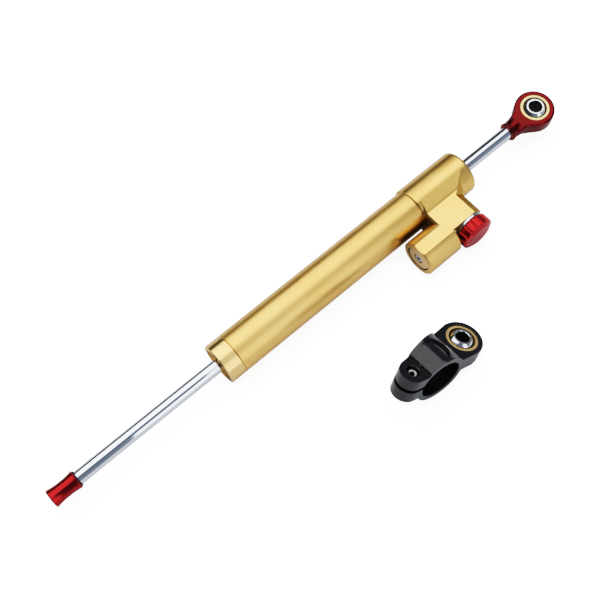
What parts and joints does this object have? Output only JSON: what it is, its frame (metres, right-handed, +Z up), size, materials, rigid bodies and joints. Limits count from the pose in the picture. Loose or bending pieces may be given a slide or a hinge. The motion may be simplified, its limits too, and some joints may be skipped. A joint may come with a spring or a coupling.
{
  "type": "steering damper",
  "caption": "Adjustable steering damper: gold tube, side reservoir, red knob, rod through both ends with a spherical rod end, and a loose black frame clamp.",
  "frame": {"origin": "centre of the rod end's ball, on its bore axis", "axes": "+Z up from the surface that the damper lies on, +X along the rod from the barrel to the rod end, reservoir and knob towards -Y; the rod end's bore leans 9 degrees from +Z towards -Y"},
  "size_m": [0.3711, 0.1045, 0.0328],
  "materials": {
    "gold_satin": "gold anodised, satin",
    "gold_turned": "gold anodised, lathe-turned",
    "red_anodised": "red anodised, bright",
    "black_anodised": "black anodised, semi-gloss",
    "chrome": "hard chrome, polished",
    "polished_steel": "polished bearing steel",
    "bright_steel": "zinc plated",
    "steel": "honed",
    "spring_steel": "phosphated, dark",
    "brass": "turned",
    "plain_aluminium": "machined",
    "rubber": "nitrile, black",
    "seal_polymer": "polyurethane",
    "band_polymer": "filled PTFE"
  },
  "bodies": {
    "barrel": {"main_tube": "gold_satin", "end_cap": "gold_turned", "head_block": "gold_satin", "reservoir_plug": "gold_turned", "inner_tube": "steel", "cap_oring": "rubber", "cap_bush": "brass", "cap_seal": "seal_polymer", "cap_wiper": "rubber", "tube_oring": "rubber", "head_bush": "brass", "head_seal": "seal_polymer", "head_circlip": "spring_steel", "head_wiper": "rubber", "reservoir_circlip": "spring_steel", "plug_oring": "rubber", "bleed_screw": "bright_steel", "adjuster_gland": "plain_aluminium", "gland_oring": "rubber", "stem_oring": "rubber", "detent_plate": "bright_steel"},
    "piston": {"piston": "plain_aluminium", "piston_band": "band_polymer", "piston_oring": "rubber"},
    "rod": {"piston_rod": "chrome", "piston_clips": "spring_steel", "rod_end_housing": "red_anodised", "rod_end_race": "brass", "end_stop": "red_anodised", "bump_ring": "rubber"},
    "rod_end_ball": {"rod_end_ball": "polished_steel"},
    "knob": {"adjuster_knob": "red_anodised", "adjuster_stem": "steel", "knob_grub_screw": "spring_steel", "detent_ball": "polished_steel", "detent_spring": "steel"},
    "needle": {"needle_valve": "brass"},
    "compensator": {"compensator_piston": "plain_aluminium", "compensator_oring": "rubber"},
    "clamp": {"clamp_body": "black_anodised", "clamp_race": "brass", "clamp_bolt": "spring_steel"},
    "clamp_ball": {"clamp_ball": "polished_steel"}
  },
  "joints": [
    {"name": "stroke", "type": "slide", "parent": "barrel", "child": "piston", "axis": [1, 0, 0], "range_m": [-0.037, 0.094]},
    {"name": "rod_turn", "type": "hinge", "parent": "piston", "child": "rod", "pos_m": [0, 0, 0], "axis": [1, 0, 0], "continuous": true},
    {"name": "rod_end_swivel", "type": "hinge", "parent": "rod", "child": "rod_end_ball", "pos_m": [0, 0, 0], "axis": [0, -0.1564, 0.9877], "continuous": true},
    {"name": "adjuster", "type": "hinge", "parent": "barrel", "child": "knob", "pos_m": [-0.0848, -0.0339, -0.00259], "axis": [0, 0.9971, 0.0761], "range_deg": [-360, 360]},
    {"name": "needle_travel", "type": "slide", "parent": "barrel", "child": "needle", "axis": [0, 0.9971, 0.0761], "range_m": [-0.0005, 0.0005]},
    {"name": "compensator_travel", "type": "slide", "parent": "barrel", "child": "compensator", "axis": [1, 0, 0], "range_m": [-0.003, 0.003]},
    {"name": "clamp_lift", "type": "slide", "parent": "barrel", "child": "clamp", "axis": [0, 0, 1], "range_m": [0, 0.05]},
    {"name": "clamp_swivel", "type": "hinge", "parent": "clamp", "child": "clamp_ball", "pos_m": [-0.141, -0.0789, -0.00422], "axis": [0.4192, 0.0117, 0.9078], "continuous": true}
  ],
  "couplings": [
    {"joint": "adjuster", "follows": "needle_travel", "rad_per_m": 12566}
  ]
}
